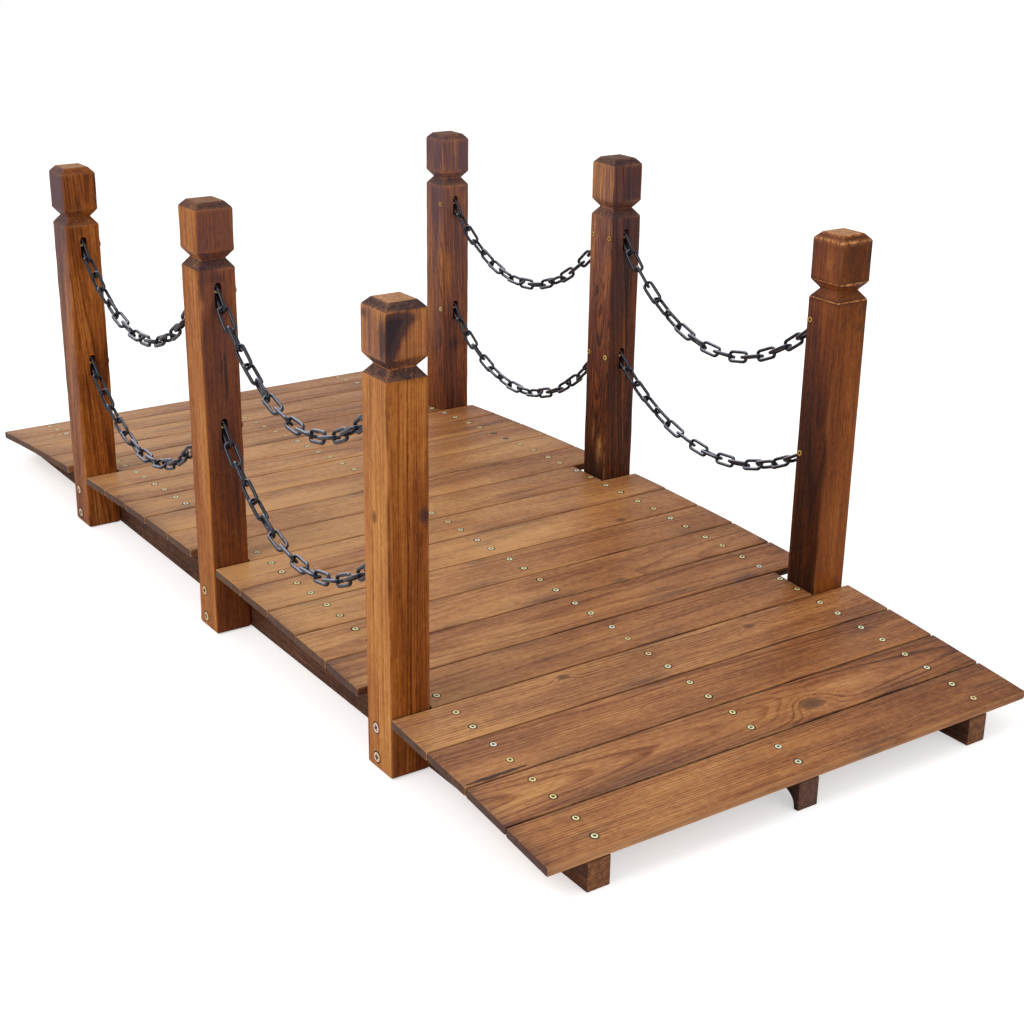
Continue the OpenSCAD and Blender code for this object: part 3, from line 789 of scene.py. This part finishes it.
def linkPoints():
    # a link about the origin, long way along X, flat in the XZ plane
    bend = (links["width"] - links["wire"]) / 2
    straight = (links["innerL"] + links["wire"] - 2 * bend) / 2
    bendSteps, sideSteps = 14, links["along"] // 2 - 14
    path = []
    for end in (1, -1):
        for a in np.linspace(-math.pi / 2, math.pi / 2, bendSteps):
            c, q = max(math.cos(a), 0) ** 0.8, math.sin(a)
            path.append((end * (straight + bend * c), end * bend * math.copysign(abs(q) ** 0.8, q)))
        for t in np.linspace(0, 1, sideSteps + 2)[1:-1]:
            path.append((end * straight * (1 - 2 * t), end * bend))
    path = np.array(path)
    ahead = np.roll(path, -1, 0) - np.roll(path, 1, 0)
    ahead /= np.linalg.norm(ahead, axis=1)[:, None]
    angles = np.linspace(0, 2 * math.pi, links["around"], endpoint=False)
    rows = []
    for (px, pz), (tx, tz) in zip(path, ahead):
        weld = 1 + 0.09 * math.exp(-(px / 0.0012) ** 2) * (pz > 0)
        r = links["wire"] / 2 * weld
        row = []
        for a in angles:
            c, q = math.cos(a), math.sin(a)
            n = r * math.copysign(abs(c) ** 0.86, c)
            b = r * math.copysign(abs(q) ** 0.86, q)
            row.append((px - tz * n, b, pz + tx * n))
        rows.append(row)
    return np.array(rows)


def linkPlaces(node):
    # centre and axes of every link of a packed chain, from one end to the other
    shell = bmesh.new()
    shell.from_mesh(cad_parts[node].data)
    bmesh.ops.remove_doubles(shell, verts=shell.verts, dist=1e-5)
    seen, places = set(), []
    for seed in shell.verts:
        if seed in seen:
            continue
        group, queue = [], [seed]
        seen.add(seed)
        while queue:
            vert = queue.pop()
            group.append(vert.co[:])
            for e in vert.link_edges:
                other = e.other_vert(vert)
                if other not in seen:
                    seen.add(other)
                    queue.append(other)
        cloud = np.array(group)
        centre = (cloud.max(0) + cloud.min(0)) / 2
        axes = np.linalg.svd(cloud - cloud.mean(0), full_matrices=False)[2]
        places.append((centre, axes))
    shell.free()
    return sorted(places, key=lambda p: p[0][0])


def buildChain(bay, side, level, order):
    rng = random.Random(links["seed"] + order)
    node = f"{bay}_{side}_{level}_chain"
    points, faces, count = [], [], 0
    rows = linkPoints()
    for centre, axes in linkPlaces(node):
        long, flat = axes[0], axes[1]
        out = np.cross(long, flat)
        if rng.random() < 0.5:
            flat, out = -flat, -out
        spread = rows.reshape(-1, 3) @ np.array([long, out, flat])
        faces += skin(*rows.shape[:2], closed=True, start=count)
        points.append(spread + centre)
        count += len(spread)
    mesh = meshFrom(f"{bay}{side.title()}{level.title()}Chain", np.concatenate(points), faces)
    return piece(mesh.name, mesh, [chainSteel], "chain_steel", node, sharp=60)


order = 0
for bay in ("far", "near"):
    for side in ("left", "right"):
        for level in ("upper", "lower"):
            buildChain(bay, side, level, order)
            order += 1
print("chains hung")


# screws
screws = {
    "deckHead": 0.0037, "postHead": 0.006, "pinHead": 0.0037, "pinShank": (0.0395, 0.0019),
    "postHeights": (0.051, 0.0153), "postOff": 0.006, "paintedSunkShade": [(-3, 0.268)], "seed": 5,
}


def zinc(name, stops, metallic=0.3):
    s = Shader(name)
    spot = s.node("TexCoord", {}, {}, "Object")
    cloud = s.noise(s.stretch(spot, (420, 420, 420)), 3)
    colour = s.ramp(s.attribute("cast", "Fac") + (cloud - 0.5) * 0.6, stops)
    # painted shade: the shade attribute darkens the cross recesses, the heads' skirts and the deep-sunk
    # screws
    colour = s.mix(s.attribute("shade", "Fac"), colour, tint(24, 16, 10))
    return s.finish({"Base Color": colour, "Metallic": metallic, "Roughness": 0.3 + cloud * 0.2,
                     "Normal": s.bump(s.noise(s.stretch(spot, (2600, 2600, 2600)), 2), 0.00006, 0.5)})


def rimBurrAndShadeFinish():
    # partly burred wood, partly painted shade: the ring round each head is as dark as the hole's shadow
    s = Shader("screwRimBurrAndShade")
    spot = s.node("TexCoord", {}, {}, "Object")
    cloud = s.noise(s.stretch(spot, (600, 600, 600)), 2)
    colour = s.mix(cloud, tint(8, 5, 5), tint(24, 13, 10))
    return s.finish({"Base Color": colour, "Roughness": 0.7 + cloud * 0.1})


# partly painted highlight: the deck screws get a near-white, almost matte colour that stands in for their
# glint
deckZincAndGlint = zinc("deckZincAndGlint", [(0.0, tint(254, 220, 146)), (0.35, tint(255, 246, 176)),
                             (0.8, tint(255, 252, 204)), (1.0, tint(250, 250, 244))], 0.06)
pinZinc = zinc("pinZinc", [(0.0, tint(206, 150, 70)), (0.6, tint(232, 192, 104)),
                           (1.0, tint(244, 222, 150))])
postZinc = zinc("postZinc", [(0.0, tint(240, 196, 120)), (0.5, tint(248, 212, 176)),
                             (1.0, tint(246, 206, 198))])
screwRimBurrAndShade = rimBurrAndShadeFinish()


def headPoints(radius, turn, rings=9, spokes=32):
    # a countersunk head seen from above: flat face, rounded rim and a cross recess, about the origin
    angles = np.linspace(0, 2 * math.pi, spokes, endpoint=False)
    arm, soft, reach = radius * 0.24, radius * 0.08, radius * 0.6
    rows, shades = [], []
    for i in range(rings + 1):
        r = radius * (i / rings) ** 0.8 if i else radius * 0.02
        row, dark = [], []
        for a in angles:
            x, y = r * math.cos(a), r * math.sin(a)
            u, v = x * math.cos(turn) + y * math.sin(turn), y * math.cos(turn) - x * math.sin(turn)
            cross = max(min(1, (arm - abs(v)) / soft) * (abs(u) < reach),
                        min(1, (arm - abs(u)) / soft) * (abs(v) < reach), 1.4 - r / radius * 3, 0)
            cross = min(1, cross)
            sink = cross * 0.0004 * (1 - r / reach * 0.5) if r < reach else 0
            roundOff = radius * 0.1 * max(0, (r / radius - 0.86) / 0.14) ** 2
            row.append((x, y, -sink - roundOff))
            # painted shade in the cross recess, which is cut only a little way
            dark.append(min(1, cross * 1.1))
        rows.append(row)
        shades.append(dark)
    # the skirt going down into the wood, in painted shade
    rows.append([(radius * 0.98 * math.cos(a), radius * 0.98 * math.sin(a), -radius * 0.3) for a in angles])
    shades.append([0.6] * spokes)
    return np.array(rows), np.array(shades)


def rimPoints(radius, width, spokes=32):
    # the dark ring round a head: partly burred wood, partly painted shade of the countersunk hole
    angles = np.linspace(0, 2 * math.pi, spokes, endpoint=False)
    outline = [(radius * 0.93, -0.00022), (radius * 0.99, 0.00004), (radius + width * 0.6, 0.00006),
               (radius + width, -0.0002)]
    return np.array([[(r * math.cos(a), r * math.sin(a), z) for a in angles] for r, z in outline])


def shankPoints(reach, radius, spokes=16):
    # a threaded shank going into the wood
    angles = np.linspace(0, 2 * math.pi, spokes, endpoint=False)
    rows = []
    for t in np.linspace(0.0005, reach, 90):
        r = radius * (1 + 0.1 * math.sin(t / 0.0016 * 2 * math.pi)) if t > 0.004 else radius
        rows.append([(r * math.cos(a), r * math.sin(a), -t) for a in angles])
    return np.array(rows)


def buildScrews(name, spots, radius, metal, slot, rng, width=0.0015, nodes=(), shank=None):
    # spots are (place, outward direction, painted shade for a screw sunk deep); together they make one piece
    points, faces, shades, casts, metals = [], [], [], [], []

    def add(rows, spread, shade, cast, material=0):
        # one stack of rings, closed at its ends where it is metal
        more = skin(*rows.shape[:2], start=sum(len(p) for p in points))
        faces.extend(more[:-2] if material else more)
        metals.extend([material] * (len(faces) - len(metals)))
        points.append(spread)
        shades.append(np.broadcast_to(shade, len(spread)))
        casts.extend([cast] * len(spread))

    for place, out, paintedSunkShade in spots:
        cast, out, place = rng.random(), Vector(out).normalized(), np.array(place)
        side = out.orthogonal().normalized()
        up = out.cross(side)
        basis = np.array([side, up, out])
        tilt = [Matrix.Rotation(rng.uniform(-0.05, 0.05), 3, axis) for axis in (side, up)]
        head, dark = headPoints(radius, rng.uniform(0, 1.57))
        lift = np.array(out) * (0.0005 - rng.uniform(0.0, 0.0002))
        add(head, head.reshape(-1, 3) @ basis @ np.array(tilt[0] @ tilt[1]).T + place + lift,
            np.maximum(dark.ravel(), paintedSunkShade), cast)
        rim = rimPoints(radius, width * rng.uniform(0.7, 1.3))
        drift = np.array([rng.uniform(-0.0003, 0.0003), rng.uniform(-0.0003, 0.0003), 0])
        add(rim, (rim.reshape(-1, 3) + drift) @ basis + place, 0, cast, 1)
        if shank:
            rows = shankPoints(*shank)
            add(rows, rows.reshape(-1, 3) @ basis + place, 0, cast)
    mesh = meshFrom(name, np.concatenate(points), faces)
    lay(mesh, "shade", np.concatenate(shades))
    lay(mesh, "cast", casts)
    thing = piece(name, mesh, [metal, screwRimBurrAndShade], slot, *nodes, sharp=50)
    for polygon, index in zip(mesh.polygons, metals):
        polygon.material_index = index
    return thing


def driveDeckScrews(i, rng):
    k = i - (deck["count"] - 1) // 2
    turn = k * boardTurn
    spots = []
    for row in deck["screwRows"]:
        for sign in (-1, 1):
            across = sign * deck["screwOffset"] * boardPitch + rng.uniform(-0.0012, 0.0012)
            along = row + rng.uniform(-0.0012, 0.0012)
            # painted shade: the listed screws are darkened as if sunk deep in their holes
            paintedSunkShade = 0.85 if (k, row) in screws["paintedSunkShade"] else 0
            spots.append((onBoard(k, along, across, 0.0), (math.sin(turn), 0, math.cos(turn)), paintedSunkShade))
    buildScrews(f"deckScrews{i + 1:02d}", spots, screws["deckHead"], deckZincAndGlint, "screw_brass", rng)


def drivePostScrews(place, side, rng):
    # the two that hold a post to its stringer, from outside, and the chains' own, from inside
    low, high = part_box(f"{place}_{side}_post")
    middle, name = (low.x + high.x) / 2, f"{place}{side.title()}"
    outer, inner, face = (low.y, high.y, -1) if side == "left" else (high.y, low.y, 1)
    spots = []
    for z in screws["postHeights"]:
        x = middle - screws["postOff"] + rng.uniform(-0.001, 0.001)
        spots.append(((x, outer, z), (0, face, 0), 0))
    buildScrews(f"{name}PostScrews", spots, screws["postHead"], postZinc, "screw_brass", rng, 0.0014)
    spots = []
    for way in chainFaces[place]:
        for level in (0, 1):
            x = middle + way * (posts["width"] / 2 - posts["pinInset"])
            z = high.z - posts["upperDrop"] - level * posts["levelGap"]
            spots.append(((x, inner, z), (0, -face, 0), 0))
    buildScrews(f"{name}ChainScrews", spots, screws["pinHead"], pinZinc, "screw_brass", rng, 0.0007,
                [f"{place}_{side}_chain_screws"], screws["pinShank"])


screwRng = random.Random(screws["seed"])
for i in range(deck["count"]):
    driveDeckScrews(i, screwRng)
for place in chainFaces:
    for side in ("left", "right"):
        drivePostScrews(place, side, screwRng)
print("screws driven")


# floor, light and camera
stage = {"floor": tint(246, 246, 246), "glow": 0.5, "world": 0.62, "key": 62, "fill": 16}


def floorFinish():
    s = Shader("paleFloor")
    spot = s.node("TexCoord", {}, {}, "Object")
    cloud = s.noise(s.stretch(spot, (3, 3, 3)), 2)
    plain = s.node("BsdfPrincipled", {}, {
        "Base Color": s.mix(cloud, stage["floor"], tint(250, 250, 250)), "Roughness": 0.9,
        "Specular IOR Level": 0.0})
    white = s.node("Emission", {}, {"Color": (1, 1, 1, 1), "Strength": stage["glow"]})
    seen = s.node("LightPath", {}, {}, "Is Camera Ray")
    dim = s.node("MixShader", {}, {0: seen, 2: white})
    both = s.node("AddShader", {}, {0: plain, 1: dim})
    s.node("OutputMaterial", {}, {"Surface": both})
    return s.owner


floorMesh = meshFrom("floor", [(-9, -9, 0), (9, -9, 0), (9, 9, 0), (-9, 9, 0)], [(0, 1, 2, 3)])
floorMesh.materials.append(floorFinish())
floor = bpy.data.objects.new("floor", floorMesh)
scene.collection.objects.link(floor)

scene.world = bpy.data.worlds.new("studio")
s = Shader("studio", scene.world)
soft = s.node("Background", {}, {"Color": (1, 1, 1, 1), "Strength": stage["world"]})
white = s.node("Background", {}, {"Color": (1, 1, 1, 1), "Strength": 1.0})
seen = s.node("LightPath", {}, {}, "Is Camera Ray")
s.node("OutputWorld", {}, {"Surface": s.node("MixShader", {}, {0: seen, 1: soft, 2: white})})


def softLamp(name, place, target, size, power):
    data = bpy.data.lights.new(name, "AREA")
    data.shape, data.size, data.energy = "DISK", size, power
    lamp = bpy.data.objects.new(name, data)
    lamp.location = place
    lamp.rotation_euler = (Vector(target) - Vector(place)).to_track_quat("-Z", "Y").to_euler()
    scene.collection.objects.link(lamp)


softLamp("keyLamp", (0.6, -3.2, 3.4), (0, 0, 0.2), 2.4, stage["key"])
softLamp("fillLamp", (3.4, 0.8, 1.8), (0, 0, 0.2), 2.6, stage["fill"])

camera = {
    "azimuth": 55.433, "elevation": 21.098, "roll": 0.83, "place": (1.8616, -1.1399, 0.9302),
    "focal": 1700.4, "frame": 1024,
}
az, el, roll = (math.radians(camera[k]) for k in ("azimuth", "elevation", "roll"))
back = Vector((math.sin(az) * math.cos(el), -math.cos(az) * math.cos(el), math.sin(el)))
right = Vector((math.cos(az), math.sin(az), 0))
up = back.cross(right)
turnedRight = right * math.cos(roll) + up * math.sin(roll)
turnedUp = up * math.cos(roll) - right * math.sin(roll)
cameraData = bpy.data.cameras.new("camera")
cameraData.sensor_width = 36
cameraData.lens = camera["focal"] * cameraData.sensor_width / camera["frame"]
cameraData.clip_start, cameraData.clip_end = 0.05, 60
cameraObject = bpy.data.objects.new("camera", cameraData)
turned = Matrix((turnedRight, turnedUp, back)).transposed().to_4x4()
cameraObject.matrix_world = Matrix.Translation(camera["place"]) @ turned
scene.collection.objects.link(cameraObject)
scene.camera = cameraObject
scene.view_settings.view_transform = "Standard"
print("stage set")
